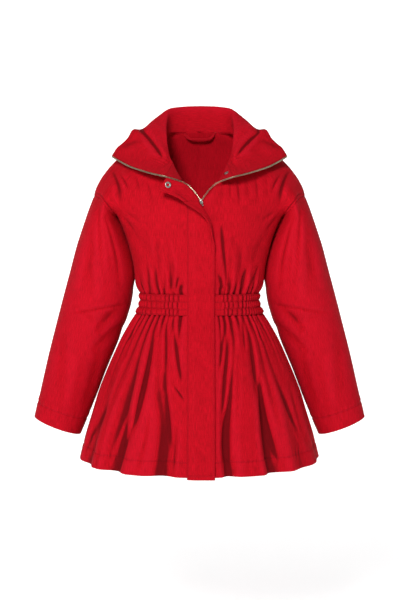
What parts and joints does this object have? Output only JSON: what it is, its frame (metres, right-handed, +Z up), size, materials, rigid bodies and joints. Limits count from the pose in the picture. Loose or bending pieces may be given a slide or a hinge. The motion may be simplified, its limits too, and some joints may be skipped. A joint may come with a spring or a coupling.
{
  "type": "zip jacket",
  "caption": "Red cotton zip jacket, filled out as worn, with an opened tall collar, storm placket, shirred waist band and gathered skirt.",
  "frame": {"origin": "between the shoulders at the base of the neck, where a wearer's shoulders hold the jacket", "axes": "+Z up, -Y out of the jacket's front, +X to the viewer's right"},
  "size_m": [0.7198, 0.3517, 0.7774],
  "materials": {
    "red_twill": "matte cotton twill",
    "zip_brass": "brushed",
    "steel": "brushed"
  },
  "bodies": {
    "jacket": {"front_left": "red_twill", "front_right": "red_twill", "back": "red_twill", "band_left": "red_twill", "band_right": "red_twill", "band_back": "red_twill", "skirt_left": "red_twill", "skirt_right": "red_twill", "skirt_back": "red_twill", "sleeve_left": "red_twill", "sleeve_right": "red_twill", "collar": "red_twill", "lapel_left": "red_twill", "lapel_right": "red_twill", "placket": "red_twill", "zip_left": "zip_brass", "zip_right": "zip_brass", "zip_closed": "zip_brass", "zip_slider": "steel", "snap_socket": "steel", "snap_rivet": "steel", "hanger_loop": "red_twill"},
    "pull": {"zip_pull": "steel"}
  },
  "joints": [
    {"name": "pull_swing", "type": "hinge", "parent": "jacket", "child": "pull", "pos_m": [0.0062, -0.1252, -0.1265], "axis": [-1, 0, 0], "range_deg": [0, 120]}
  ]
}
